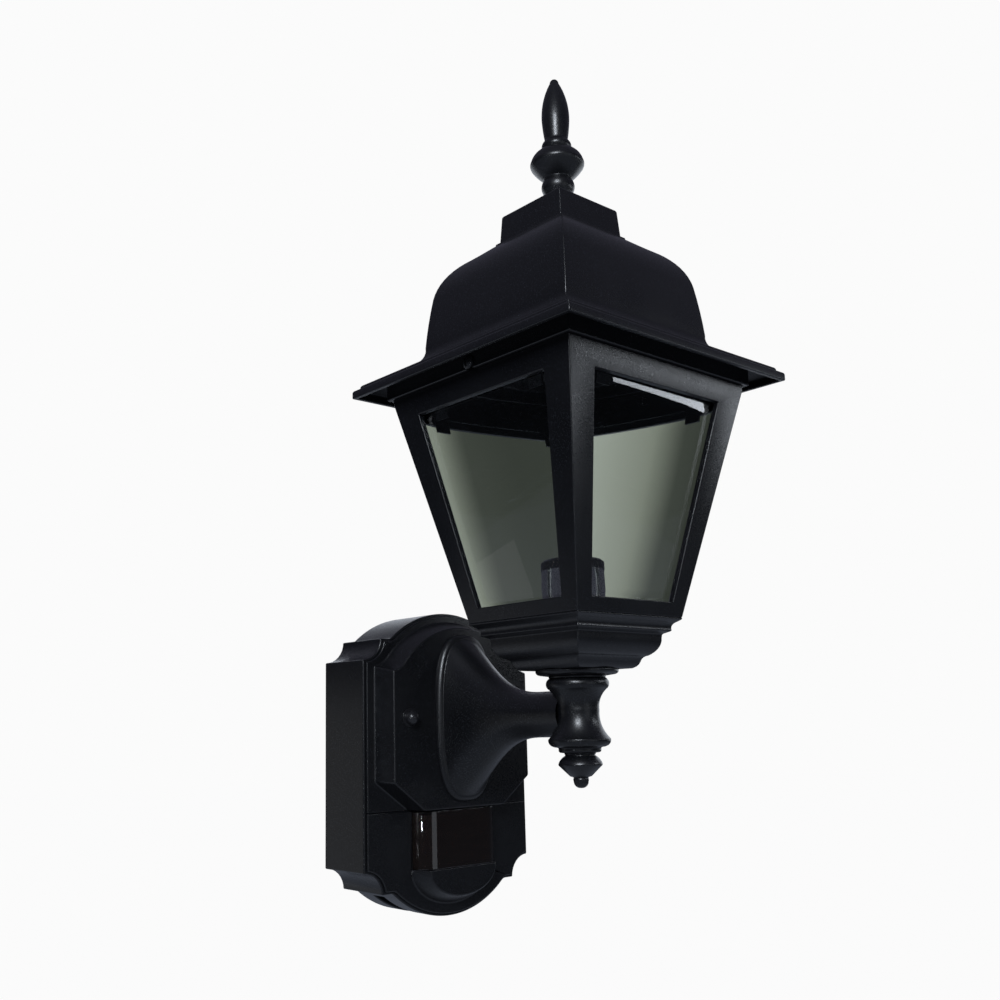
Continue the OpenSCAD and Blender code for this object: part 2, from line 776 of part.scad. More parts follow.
module socket_screws() {
    color("goldenrod") at_lantern() for (m = [1, -1]) translate([m * 9, 0, 0]) {
        translate([0, 0, 68.2]) cylinder(r = 3, h = 2.3);
        translate([0, 0, 70]) cylinder(r = 1.68, h = 4);
    }
}

// Route of a lamp lead on the right of the middle: board, arm, hub, nipple, terminal.
lead_route = [[5, -26.2, -34], [5, -26.2, -26], [5, -23, -12], [4, -22, 2], [2.6, -26, 15],
    [1.7, -36, 24], [1.6, -48, 25.7], [1.6, -75, 25.7], [1.6, -105, 25.7], [1.6, -130, 25.7],
    [1.6, -140.5, 26.6], [1.6, -145.8, 31.5], [1.6, -147, 39], [1.6, -147, 50], [1.6, -147, 60],
    [1.8, -147, 64.8], [4.5, -147, 66], [9, -147, 66.9]];

module lead(side) {
    swept(smooth([for (p = lead_route) [side * p[0], p[1], p[2]]], 4), wire_r);
}

module lamp_lead_black() {
    color([0.05, 0.05, 0.05]) lead(-1);
}

module lamp_lead_white() {
    color("whitesmoke") lead(1);
}

// ---------- roof ----------

// Outer half outline of the roof: stepped lip, shallow eave, flared foot, steep sides, shoulder.
roof_line = concat(
    [[eave_half_w - 2.4, 203], [eave_half_w, 203]],
    bend([eave_half_w, 206.3], [eave_half_w - 1.6, 207.9], -0.5, 3),
    [[eave_half_w - 3, 208.2]],
    bend([eave_half_w - 3.3, 210.4], [59, 222.4], 0.5, 5),
    bend([59, 222.4], [55.5, 230.8], 1.2, 6),
    bend([55.5, 230.8], [52.1, 259.5], -0.3, 4),
    bend([52.1, 259.5], [39.2, 280.4], -2.3, 8),
    bend([39.2, 280.4], [26.4, 290.2], 0.2, 4),
    [[26.2, 290.2], [26.2, roof_top_z]]);

module roof() {
    hollow = concat([[skirt_in, 190], [skirt_in, cage_top_z + 0.2], [62, cage_top_z + 0.2],
        [62, 216.5]],
        bend([56.2, 219.8], [51.6, 229.5], 1, 5), [[48.6, 259.5]],
        bend([48.6, 259.5], [36.5, 279.5], -2.5, 6), [[26, 286.2], [20, 287.4]]);
    under_eave = [[eave_half_w - 2.6, 195], [eave_half_w - 2.6, 207.4], [skirt_out, 213.4]];
    color([0.08, 0.08, 0.09]) at_lantern() difference() {
        union() {
            difference() {
                square_turned(roof_line);
                square_turned(under_eave);
            }
            square_turned([[skirt_out, 201], [skirt_out, 214]]);
        }
        square_turned(hollow);
        for (m = [1, -1]) translate([m * (skirt_in + 1), 0, 0]) roof_slot();
        translate([0, 0, 280]) cylinder(r = 2.7, h = 20);
    }
}

// A slot in the skirt, open downward, that drops over a roof screw.
module roof_slot() {
    translate([-4, -2.4, 195]) cube([8, 4.8, roof_screw_z - 195]);
    translate([-4, 0, roof_screw_z]) rotate([0, 90, 0]) cylinder(r = 2.4, h = 8);
}

module roof_screw(side) {
    head_r = 3.7;
    color([0.07, 0.07, 0.08]) at_lantern() translate([side * (skirt_out + 0.3), 0, roof_screw_z])
        rotate([0, side * 90, 0]) difference() {
            union() {
                turned(concat([[0, 0], [head_r, 0]], bend([head_r, 0.9], [0, 2.6], -0.35, 6),
                    [[0, 2.6]]));
                translate([0, 0, -8.4]) cylinder(r = 1.95, h = 9);
            }
            translate([-5, -0.5, 1.7]) cube([10, 1, 2]);
        }
}

module roof_screw_left() {
    roof_screw(-1);
}

module roof_screw_right() {
    roof_screw(1);
}

module roof_cap() {
    outside = [[24.4, roof_top_z], [24.3, 292.4], [23.3, 307.4], [22.7, 308.2], [11, cap_top_z]];
    inside = [[21, 280], [20, 305], [9, 306.5]];
    color([0.08, 0.08, 0.09]) at_lantern() difference() {
        square_turned(outside);
        square_turned(inside);
        translate([0, 0, 290]) cylinder(r = 2.7, h = 30);
    }
}

module top_finial() {
    line = concat(
        [[0, cap_top_z], [10.4, cap_top_z], [10.4, 310.8]],
        bend([9.6, 311.2], [7.4, 319.4], 1.1, 5),
        bend([8.3, 320.4], [8.3, 327.8], -1.2, 6),
        [[8, 328.8]],
        bend([8.4, 329.2], [15.2, 336.6], -0.4, 5),
        bend([15.2, 336.6], [15.2, 339.6], -0.4, 3),
        bend([15.2, 339.6], [9.2, 346.2], -1.1, 6),
        [[7.6, 346.8]],
        bend([7.7, 347.2], [7.7, 351.8], -0.9, 6),
        [[6.8, 352.6]],
        bend([6.6, 353.4], [8.05, 366.5], -0.2, 5),
        bend([8.05, 366.5], [2.6, 389.6], -1.5, 9),
        bend([2.6, 389.6], [0, 392.2], -0.8, 5),
        [[0, 392.2]]);
    color([0.08, 0.08, 0.09]) at_lantern() difference() {
        turned(line);
        translate([0, 0, 300]) cylinder(r = 2.5, h = 34);
    }
}

module finial_stud() {
    color("silver") at_lantern() translate([0, 0, 281]) cylinder(r = 2.48, h = 52);
}

module finial_nut() {
    color("silver") at_lantern() translate([0, 0, 283.4]) difference() {
        cylinder(r = 5.2, h = 4, $fn = 6);
        translate([0, 0, -1]) cylinder(r = 2.5, h = 6);
    }
}

// ---------- assembly ----------

wall_bracket();
ground_screw();
mounting_studs();
cap_nuts();
back_gasket();
back_box();
arm_plate();
sensor_cover();
cover_screws();
sensor_window();
fresnel_lens();
sensor_board();
board_screws();
heat_sensor();
light_sensor();
lamp_relay();
smoothing_capacitor();
terminal_block();
control_tray();
range_pot();
switch_body();
range_dial();
time_switch();
arm();
arm_screws();
hub();
drop_finial();
collar();
nipple();
lock_washer();
nipple_nut();
lantern_base();
base_screws();
cage();
glass_front();
glass_back();
glass_left();
glass_right();
glass_clips();
socket_bracket();
socket_body();
socket_sleeve();
socket_shell();
socket_contact();
socket_screws();
lamp_lead_black();
lamp_lead_white();
roof_screw_left();
roof_screw_right();
roof();
roof_cap();
top_finial();
finial_stud();
finial_nut();
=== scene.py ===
"""Looks of the outdoor wall lantern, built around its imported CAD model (metres, wall plane at y = 0)."""

import json
import math

import bmesh
import bpy
from mathutils import Matrix, Vector


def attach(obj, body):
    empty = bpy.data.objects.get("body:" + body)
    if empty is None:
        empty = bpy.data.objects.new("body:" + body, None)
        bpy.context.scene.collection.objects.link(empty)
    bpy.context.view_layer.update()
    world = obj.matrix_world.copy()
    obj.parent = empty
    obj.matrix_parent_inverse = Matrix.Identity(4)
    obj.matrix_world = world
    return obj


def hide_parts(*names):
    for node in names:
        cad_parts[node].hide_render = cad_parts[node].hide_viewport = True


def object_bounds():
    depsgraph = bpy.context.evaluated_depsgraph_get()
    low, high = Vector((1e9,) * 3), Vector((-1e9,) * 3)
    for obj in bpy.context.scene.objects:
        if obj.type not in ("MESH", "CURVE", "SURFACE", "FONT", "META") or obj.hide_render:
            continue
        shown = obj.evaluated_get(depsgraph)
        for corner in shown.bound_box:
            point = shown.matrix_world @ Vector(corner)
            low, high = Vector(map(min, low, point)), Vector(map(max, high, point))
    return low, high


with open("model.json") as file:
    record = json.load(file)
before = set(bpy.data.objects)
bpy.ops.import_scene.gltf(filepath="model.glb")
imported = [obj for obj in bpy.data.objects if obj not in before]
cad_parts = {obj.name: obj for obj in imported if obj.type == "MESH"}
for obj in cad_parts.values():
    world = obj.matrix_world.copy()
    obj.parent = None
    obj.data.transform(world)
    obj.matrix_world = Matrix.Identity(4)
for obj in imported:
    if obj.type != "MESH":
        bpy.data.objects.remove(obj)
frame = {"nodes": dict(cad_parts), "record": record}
cad_low, cad_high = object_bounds()
MM = 0.001


# ---------- shader building ----------

class Shader:
    """A node material around one Principled BSDF, in object coordinates: the shared frame, in metres."""

    def __init__(self, name, **constants):
        self.material = bpy.data.materials.new(name)
        self.material.use_nodes = True
        self.tree = self.material.node_tree
        self.surface = self.tree.nodes["Principled BSDF"]
        self.place = self.tree.nodes.new("ShaderNodeTexCoord").outputs["Object"]
        for socket, value in constants.items():
            self.surface.inputs[socket.replace("_", " ")].default_value = value

    def node(self, kind, links=None, **settings):
        made = self.tree.nodes.new(kind)
        for key, value in settings.items():
            setattr(made, key, value)
        for socket, source in (links or {}).items():
            if isinstance(source, bpy.types.NodeSocket):
                self.tree.links.new(source, made.inputs[socket])
            else:
                made.inputs[socket].default_value = source
        return made

    def stretched(self, scale, turn=(0, 0, 0)):
        """Coordinates scaled by an amount along each axis, for grain that runs one way."""
        return self.node("ShaderNodeMapping", {
            "Vector": self.place, "Scale": scale, "Rotation": turn}).outputs[0]

    def noise(self, size, detail=2.0, rough=0.5, place=None):
        """Noise whose blobs are about size metres across."""
        return self.node("ShaderNodeTexNoise", {
            "Vector": place or self.place, "Scale": 1 / size, "Detail": detail,
            "Roughness": rough}).outputs["Fac"]

    def rows(self, pitch, axis):
        """Even ridges a pitch apart along an axis, as of a thread."""
        per_unit = 20 / (2 * math.pi)  # ridges that the wave texture makes at scale 1
        return self.node("ShaderNodeTexWave", {"Vector": self.place, "Scale": 1 / (per_unit * pitch)},
                         bands_direction=axis).outputs["Fac"]

    def remap(self, value, low, high, to_low, to_high):
        return self.node("ShaderNodeMapRange", {
            "Value": value, "From Min": low, "From Max": high,
            "To Min": to_low, "To Max": to_high}).outputs[0]

    def mix(self, factor, first, second):
        made = self.node("ShaderNodeMix", data_type="RGBA")
        for index, source in ((0, factor), (6, first), (7, second)):
            if isinstance(source, bpy.types.NodeSocket):
                self.tree.links.new(source, made.inputs[index])
            elif index:
                made.inputs[index].default_value = (*source, 1)
            else:
                made.inputs[index].default_value = source
        return made.outputs[2]

    def combine(self, first, second, operation="ADD"):
        return self.node("ShaderNodeMath", {0: first, 1: second}, operation=operation).outputs[0]

    def bump(self, height, depth, strength=1.0, under=None):
        links = {"Height": height, "Distance": depth, "Strength": strength}
        if under is not None:
            links["Normal"] = under
        return self.node("ShaderNodeBump", links).outputs[0]

    def worn_edges(self, start=0.53, full=0.62):
        """0 on flats, rising to 1 on sharp outer edges."""
        pointy = self.node("ShaderNodeNewGeometry").outputs["Pointiness"]
        return self.remap(pointy, start, full, 0, 1)

    def set(self, **sources):
        for socket, source in sources.items():
            self.tree.links.new(source, self.surface.inputs[socket.replace("_", " ")])
        return self


def tint(colour, factor):
    return tuple(min(1.0, c * factor) for c in colour)


# ---------- materials ----------

def powder_coat():
    """Satin black powder coat over a casting: fine speckle, slight orange peel, clouds and worn edges."""
    black = (0.0028, 0.0030, 0.0037)
    s = Shader("powder_coat", Specular_IOR_Level=0.45, IOR=1.5)
    speckle = s.noise(0.75 * MM, 2, 0.6)
    peel = s.noise(2.6 * MM, 2)
    cloud = s.noise(38 * MM, 3)
    body = s.mix(cloud, tint(black, 0.7), tint(black, 1.3))
    body = s.mix(s.remap(speckle, 0.54, 0.68, 0, 0.8), body, tint(black, 4.5))
    worn = s.combine(s.worn_edges(), s.remap(s.noise(5 * MM, 4), 0.4, 0.7, 0, 0.5), "MULTIPLY")
    body = s.mix(worn, body, (0.016, 0.017, 0.019))
    rough = s.combine(s.remap(cloud, 0.3, 0.7, 0.3, 0.36), s.remap(speckle, 0.35, 0.65, 0.06, -0.06))
    normal = s.bump(speckle, 0.05 * MM, 0.6, s.bump(peel, 0.05 * MM, 0.3))
    return s.set(Base_Color=body, Roughness=rough, Normal=normal).material


def black_paint():
    s = Shader("black_paint", Specular_IOR_Level=0.45)
    grain = s.noise(0.5 * MM, 3)
    body = s.mix(grain, (0.005, 0.005, 0.006), (0.012, 0.012, 0.014))
    body = s.mix(s.remap(s.worn_edges(0.6, 0.75), 0, 1, 0, 0.2), body, (0.12, 0.115, 0.11))
    return s.set(Base_Color=body, Roughness=s.remap(grain, 0.3, 0.7, 0.24, 0.36),
                 Normal=s.bump(grain, 0.02 * MM, 0.4)).material


def plated_steel():
    """Plated steel with fine drawn lines, passivation clouds and a few dull spots."""
    colour = (0.58, 0.6, 0.62)
    s = Shader("zinc_plate", Metallic=1.0)
    lines = s.noise(4 * MM, 4, 0.6, s.stretched((1, 1, 30)))
    cloud = s.noise(9 * MM, 3)
    spots = s.remap(s.noise(1.6 * MM, 5, 0.7), 0.62, 0.72, 0, 1)
    body = s.mix(cloud, tint(colour, 0.82), tint(colour, 1.1))
    body = s.mix(s.combine(spots, 0.35, "MULTIPLY"), body, tint(colour, 0.45))
    rough = s.combine(s.remap(lines, 0.3, 0.7, 0.22, 0.36), s.combine(spots, 0.2, "MULTIPLY"))
    return s.set(Base_Color=body, Roughness=rough, Normal=s.bump(lines, 0.02 * MM, 0.3)).material


def threaded_steel(name, axis):
    """Plated threaded rod along an axis, its thread roots darkened as painted shade."""
    s = Shader(name, Metallic=1.0)
    thread = s.rows(0.8 * MM, axis)
    cloud = s.noise(5 * MM, 3)
    # Painted shade: the colour goes dark in the thread roots, where the grooves would be shaded. The cloud
    # mix below is random tone.
    body = s.mix(s.remap(thread, 0, 0.5, 0.8, 0), (0.5, 0.52, 0.54), (0.12, 0.12, 0.12))
    body = s.mix(s.combine(cloud, 0.4, "MULTIPLY"), body, (0.3, 0.3, 0.3))
    return s.set(Base_Color=body, Roughness=s.remap(cloud, 0.3, 0.7, 0.22, 0.34),
                 Normal=s.bump(thread, 0.4 * MM, 0.9)).material


def brass():
    s = Shader("brass", Metallic=1.0)
    turning = s.noise(2 * MM, 3, 0.5, s.stretched((1, 1, 14)))
    stain = s.noise(6 * MM, 4)
    body = s.mix(stain, (0.62, 0.42, 0.16), (0.8, 0.6, 0.28))
    return s.set(Base_Color=body, Roughness=s.remap(turning, 0.3, 0.7, 0.2, 0.38),
                 Normal=s.bump(turning, 0.02 * MM, 0.3)).material


def bright_metal():
    """Drawn, polished sleeve: streaks that run up it."""
    s = Shader("bright_metal", Metallic=1.0)
    streaks = s.noise(2.5 * MM, 4, 0.6, s.stretched((3, 3, 0.25)))
    handling = s.noise(7 * MM, 4)
    body = s.mix(handling, (0.66, 0.67, 0.66), (0.86, 0.87, 0.85))
    return s.set(Base_Color=body, Roughness=s.remap(streaks, 0.3, 0.7, 0.1, 0.24),
                 Normal=s.bump(streaks, 0.03 * MM, 0.35)).material


def pane_glass():
    """Clear plate glass with a trace of green, faint smears and a little dust."""
    s = Shader("pane_glass", Transmission_Weight=1.0, IOR=1.5)
    smear = s.noise(22 * MM, 5, 0.65, s.stretched((1, 1, 0.35)))
    dust = s.remap(s.noise(0.8 * MM, 4, 0.7), 0.66, 0.76, 0, 1)
    body = s.mix(s.combine(dust, 0.1, "MULTIPLY"), (0.93, 0.955, 0.94), (0.6, 0.6, 0.57))
    rough = s.combine(s.remap(smear, 0.52, 0.72, 0.0, 0.035), s.combine(dust, 0.05, "MULTIPLY"))
    return s.set(Base_Color=body, Roughness=rough).material


def smoked_plastic():
    """Glossy smoked brown window, faintly streaked by its moulding."""
    s = Shader("smoked_plastic", Transmission_Weight=0.9, IOR=1.56, Coat_Weight=0.5, Coat_Roughness=0.02)
    flow = s.noise(14 * MM, 3, 0.5, s.stretched((0.5, 0.5, 3)))
    body = s.mix(flow, (0.045, 0.031, 0.028), (0.08, 0.055, 0.047))
    return s.set(Base_Color=body, Roughness=s.remap(flow, 0.3, 0.7, 0.012, 0.03),
                 Normal=s.bump(flow, 0.03 * MM, 0.15)).material


def lens_plastic():
    """Milky lens film with rows of fine grooves."""
    s = Shader("lens_plastic", Transmission_Weight=0.35, IOR=1.5, Subsurface_Weight=0.2)
    grooves = s.rows(1.1 * MM, "Z")
    cloud = s.noise(5 * MM)
    body = s.mix(cloud, (0.62, 0.6, 0.55), (0.75, 0.73, 0.68))
    return s.set(Base_Color=body, Roughness=s.remap(cloud, 0.3, 0.7, 0.32, 0.45),
                 Normal=s.bump(grooves, 0.3 * MM, 0.6)).material


def circuit_board():
    """Green solder mask over tracks, with tinned pads."""
    s = Shader("circuit_board", Coat_Weight=0.3, Coat_Roughness=0.15)
    tracks = s.node("ShaderNodeTexBrick", {
        "Vector": s.stretched((1, 1, 1), (math.pi / 2, 0, 0)), "Scale": 1 / (6 * MM), "Mortar Size": 0.05,
        "Color1": (0, 0, 0, 1), "Color2": (0.25, 0.25, 0.25, 1), "Mortar": (1, 1, 1, 1)}).outputs["Fac"]
    cells = s.node("ShaderNodeTexVoronoi", {"Vector": s.place, "Scale": 1 / (4 * MM)})
    pads = s.remap(cells.outputs["Distance"], 0.12, 0.16, 1, 0)
    body = s.mix(tracks, (0.008, 0.075, 0.03), (0.02, 0.16, 0.07))
    body = s.mix(pads, body, (0.6, 0.6, 0.58))
    return s.set(Base_Color=body, Metallic=pads, Roughness=s.remap(tracks, 0, 1, 0.35, 0.28),
                 Normal=s.bump(tracks, 0.05 * MM, 0.5)).material


def moulded_plastic(name, colour, rough=0.42, grain_size=0.35 * MM):
    """Moulded plastic with a spark-eroded grain and slight flow clouds."""
    s = Shader(name, Specular_IOR_Level=0.45)
    grain = s.noise(grain_size, 3)
    cloud = s.noise(12 * MM, 3)
    body = s.mix(cloud, tint(colour, 0.8), tint(colour, 1.2))
    body = s.mix(s.remap(s.worn_edges(0.55, 0.68), 0, 1, 0, 0.3), body, tint(colour, 2.2))
    return s.set(Base_Color=body, Roughness=s.remap(grain, 0.3, 0.7, rough - 0.06, rough + 0.08),
                 Normal=s.bump(grain, 0.03 * MM, 0.4)).material


def foam_rubber():
    s = Shader("foam_rubber", Specular_IOR_Level=0.25)
    cells = s.node("ShaderNodeTexVoronoi", {"Vector": s.place, "Scale": 1 / (0.6 * MM)}).outputs["Distance"]
    body = s.mix(cells, (0.012, 0.012, 0.012), (0.04, 0.04, 0.04))
    return s.set(Base_Color=body, Roughness=s.remap(cells, 0, 1, 0.75, 0.95),
                 Normal=s.bump(cells, 0.2 * MM, 0.7)).material


def make_materials():
    plastic = moulded_plastic
    return {
        "black_casting": powder_coat(),
        "black_steel": black_paint(),
        "zinc_steel": plated_steel(),
        "green_steel": plastic("green_paint", (0.02, 0.2, 0.07), 0.3),
        "brass": brass(),
        "bright_metal": bright_metal(),
        "pane_glass": pane_glass(),
        "smoked_window": smoked_plastic(),
        "lens_plastic": lens_plastic(),
        "circuit_board": circuit_board(),
        "green_plastic": plastic("green_plastic", (0.03, 0.22, 0.08)),
        "blue_plastic": plastic("blue_plastic", (0.02, 0.07, 0.3)),
        "capacitor_sleeve": plastic("capacitor_sleeve", (0.015, 0.02, 0.08), 0.25),
        "ceramic": plastic("resin", (0.5, 0.35, 0.2), 0.5),
        "dark_plastic": plastic("dark_plastic", (0.014, 0.014, 0.015)),
        "phenolic": plastic("phenolic", (0.012, 0.01, 0.009), 0.22, 1.5 * MM),
        "gasket_foam": foam_rubber(),
        "black_wire": plastic("black_wire", (0.012, 0.012, 0.012), 0.35),
        "white_wire": plastic("white_wire", (0.7, 0.69, 0.66), 0.35),
    }


# ---------- CAD nodes and castings ----------

# Radius in mm of the rounded edges of each casting, and of the smoked window.
CASTING_EDGES = {
    "back_box": 0.8, "arm_plate": 0.9, "sensor_cover": 0.8, "lantern_base": 0.6, "cage": 0.6,
    "roof": 0.7, "roof_cap": 0.6, "sensor_window": 0.5}
SHARP = math.radians(28)
TURNED_EDGE = 0.7            # mm, on the turned parts
SMALL_RADIUS = 0.12          # mm, on every other node
SAME_POINT = 0.002 * MM      # vertices closer than this are one
SAME_PLANE = math.radians(0.6)


def smooth_shaded(mesh):
    if "custom_normal" in mesh.attributes:
        mesh.attributes.remove(mesh.attributes["custom_normal"])
    mesh.shade_smooth()


def add_bevel(piece, radius, by_weight):
    bevel = piece.modifiers.new("edges", "BEVEL")
    bevel.width = radius
    bevel.segments = 4 if by_weight else 2
    bevel.limit_method = "WEIGHT" if by_weight else "ANGLE"
    bevel.angle_limit = SHARP
    bevel.use_clamp_overlap = not by_weight
    bevel.harden_normals = True
    bevel.miter_outer = "MITER_ARC"


def room_beside(edge):
    """The shortest edge that leaves this one sideways: how far a rounding can reach."""
    along = (edge.verts[1].co - edge.verts[0].co).normalized()
    reach = 1.0
    for end in edge.verts:
        for other in end.link_edges:
            if other is edge:
                continue
            away = (other.other_vert(end).co - end.co).normalized()
            if abs(away.dot(along)) < 0.85:
                reach = min(reach, other.calc_length())
    return reach


def cast(node, radius, materials, slot):
    """A casting's finished skin: clean faces, each sharp edge rounded as far as there is room beside it."""
    mesh = bpy.data.meshes.new(node + "_skin")
    shape = bmesh.new()
    shape.from_mesh(frame["nodes"][node].data)
    bmesh.ops.remove_doubles(shape, verts=shape.verts, dist=SAME_POINT)
    bmesh.ops.dissolve_limit(shape, angle_limit=SAME_PLANE, verts=shape.verts, edges=shape.edges)
    weight = shape.edges.layers.float.new("bevel_weight_edge")
    for edge in shape.edges:
        if len(edge.link_faces) == 2 and edge.calc_face_angle() > SHARP:
            edge[weight] = min(1.0, 0.42 * room_beside(edge) / radius)
    shape.to_mesh(mesh)
    shape.free()
    smooth_shaded(mesh)
    mesh.materials.clear()
    mesh.materials.append(materials[slot])
    piece = bpy.data.objects.new(node + "_skin", mesh)
    bpy.context.scene.collection.objects.link(piece)
    add_bevel(piece, radius, True)
    return piece


def bend(start, end, bulge, count=12):
    """Points of an arc from start to just before end, bulging to the left of the way between them."""
    start, end = Vector(start), Vector(end)
    chord = end - start
    half = 2 * math.atan(2 * bulge / chord.length)
    along = chord.normalized()
    left = Vector((-along.y, along.x))
    radius = chord.length / (2 * math.sin(half))
    centre = (start + end) / 2 - left * radius * math.cos(half)
    angles = [-half + 2 * half * i / count for i in range(count)]
    return [centre + radius * (math.sin(a) * along + math.cos(a) * left) for a in angles]


def eased(line, radius):
    """The profile with each corner sharper than SHARP rounded as far as there is room."""
    points = [Vector(p) for p in line]
    out = [points[0]]
    for before, here, after in zip(points, points[1:], points[2:]):
        into, away = here - before, after - here
        if into.length == 0 or away.length == 0 or into.angle(away) < SHARP:
            out.append(here)
            continue
        reach = min(radius, 0.45 * into.length, 0.45 * away.length)
        first, last = here - into.normalized() * reach, here + away.normalized() * reach
        for i in range(5):
            t = i / 4
            out.append(first.lerp(here, t).lerp(here.lerp(last, t), t))
    return out + [points[-1]]


def loft(node, rings, materials, slot):
    """A smooth skin through closed rings of points, in metres."""
    mesh = bpy.data.meshes.new(node + "_skin")
    sides = len(rings[0])
    faces = []
    for i in range(len(rings) - 1):
        for k in range(sides):
            n = (k + 1) % sides
            faces.append((i * sides + k, i * sides + n, (i + 1) * sides + n, (i + 1) * sides + k))
    mesh.from_pydata([point for ring in rings for point in ring], [], faces)
    shape = bmesh.new()
    shape.from_mesh(mesh)
    bmesh.ops.remove_doubles(shape, verts=shape.verts, dist=0.0005 * MM)
    bmesh.ops.recalc_face_normals(shape, faces=shape.faces)
    shape.to_mesh(mesh)
    shape.free()
    mesh.shade_smooth()
    mesh.materials.append(materials[slot])
    piece = bpy.data.objects.new(node + "_skin", mesh)
    bpy.context.scene.collection.objects.link(piece)
    return piece


def lathe(node, line, radius, materials, slot, segments=96):
    """A turned part's finished skin: its outline in mm from the CAD, turned about the lantern's axis."""
    angles = [2 * math.pi * k / segments for k in range(segments)]
    rings = [[(p.x * MM * math.cos(a), LANTERN_Y + p.x * MM * math.sin(a), p.y * MM) for a in angles]
             for p in eased(line, radius)]
    return loft(node, rings, materials, slot)


def arm_flare(materials, slot, sides=144):
    """The arm's trumpet with its rounded lip, as in the CAD but with finer steps; it ends inside the hub."""
    foot = 53.6          # how far from the wall it starts, mm
    crease = foot + 3.4  # where the lip's rounding meets the flare
    neck = 122.0         # where the flare has become a round tube
    end = 142.0
    axis_z = 25.7
    lip = 3.2
    tube = 12.3          # the neck's radius
    wider, higher = 9.1, 35.9  # how much the foot's half width and half height exceed the neck's

    def ring(depth, inset=1.0):
        u = min(max((depth - crease) / (neck - crease), 0), 1)
        flare = (1 - u) ** 2.9 * (1 + 1.2 * u)
        power = 2 / (2 + 0.8 * flare)
        wide = tube + wider * flare ** 1.25 - inset * lip * flare
        high = tube + higher * flare - inset * lip * flare
        points = []
        for k in range(sides):
            c, s = math.cos(2 * math.pi * k / sides), math.sin(2 * math.pi * k / sides)
            points.append((math.copysign(abs(c) ** power, c) * wide * MM, -depth * MM,
                           (axis_z + math.copysign(abs(s) ** power, s) * high) * MM))
        return points

    turns = [math.radians(a) for a in range(0, 91, 10)]
    rings = [ring(foot, 0)] + [ring(crease - lip * (1 - math.sin(a)), 1 - math.cos(a)) for a in turns]
    steps = 60
    rings += [ring(crease + (neck - crease) * (i / steps) ** 1.4) for i in range(1, steps + 1)]
    rings.append(ring(end))
    return loft("arm", rings, materials, slot)


LANTERN_Y = -147 * MM
# Outlines of the turned parts: radius and height in mm, up the lantern's axis.
TURNED_PARTS = {
    "hub": [(0, 4.5), (8.2, 4.5), (8.2, 5.3), (10.6, 5.6), (11.2, 6.3), (11.2, 8.1), (13.4, 8.4),
            *bend((14.4, 8.8), (16.5, 12), -0.6),
            *bend((16.5, 12.4), (11.1, 27.5), 1.9, 20), *bend((11.1, 27.5), (15.9, 38.8), 1.6, 16),
            *bend((15.9, 38.8), (14.9, 44.2), -1.3), (14.9, 44.2), (15.3, 45.2), (0, 45.2)],
    "drop_finial": [(0, 4.5), (7.9, 4.5), *bend((7.9, 4), (11.6, -0.2), 0.5, 8), (11.7, -0.8),
                    (5.7, -6.6), (4, -7.1), *bend((3.9, -7.5), (3.9, -9.2), 0.2, 5),
                    *bend((3.9, -9.2), (0, -12.6), 1.2, 14), (0, -12.6)],
    "collar": [(5.05, 45.2), (15.3, 45.2), (20.2, 45.9), *bend((20.2, 45.9), (22.1, 47.6), -0.4, 8),
               (22.1, 48.6), (5.05, 48.6)],
    "top_finial": [(0, 309.6), (10.4, 309.6), (10.4, 310.8), *bend((9.6, 311.2), (7.4, 319.4), 1.1),
                   *bend((8.3, 320.4), (8.3, 327.8), -1.2, 14), (8, 328.8),
                   *bend((8.4, 329.2), (15.2, 336.6), -0.4), *bend((15.2, 336.6), (15.2, 339.6), -0.4, 8),
                   *bend((15.2, 339.6), (9.2, 346.2), -1.1), (7.6, 346.8),
                   *bend((7.7, 347.2), (7.7, 351.8), -0.9), (6.8, 352.6),
                   *bend((6.6, 353.4), (8.05, 366.5), -0.2), *bend((8.05, 366.5), (2.6, 389.6), -1.5, 24),
                   *bend((2.6, 389.6), (0, 392.2), -0.8), (0, 392.2)],
}


def body_of(node):
    return next(body for body, nodes in frame["record"]["behaviour"]["bodies"].items() if node in nodes)


def dress_nodes(materials):
    slot_of = {row["node"]: row["material_slot"] for row in frame["record"]["subparts"]}
    own_material = {"mounting_studs": threaded_steel("stud_thread", "Y"),
                    "finial_stud": threaded_steel("finial_thread", "Z")}
    for name, packed in frame["nodes"].items():
        slot = slot_of[name]
        piece = None
        if name in CASTING_EDGES:
            piece = cast(name, CASTING_EDGES[name] * MM, materials, slot)
        elif name in TURNED_PARTS:
            piece = lathe(name, TURNED_PARTS[name], TURNED_EDGE, materials, slot)
        elif name == "arm":
            piece = arm_flare(materials, slot)
        if piece:
            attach(piece, body_of(name))
            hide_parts(name)
            continue
        packed.data.materials.clear()
        packed.data.materials.append(own_material.get(name) or materials[slot])
        smooth_shaded(packed.data)
        weld = packed.modifiers.new("weld", "WELD")
        weld.merge_threshold = SAME_POINT
        merge = packed.modifiers.new("planes", "DECIMATE")
        merge.decimate_type = "DISSOLVE"
        merge.angle_limit = SAME_PLANE
        add_bevel(packed, SMALL_RADIUS * MM, False)


# ---------- camera, lights and floor ----------

CAMERA_TURN = math.radians(41.05)
CAMERA_TILT = math.radians(10.16)
CAMERA_ROLL = math.radians(-1.29)
CAMERA_DISTANCE = 0.6184
LENS = 39.12
LENS_SHIFT = 0.0285
# What the lens points at, from the middle of the object.
CAMERA_AIM = Vector((-0.0231, 0.0251, -0.0212))


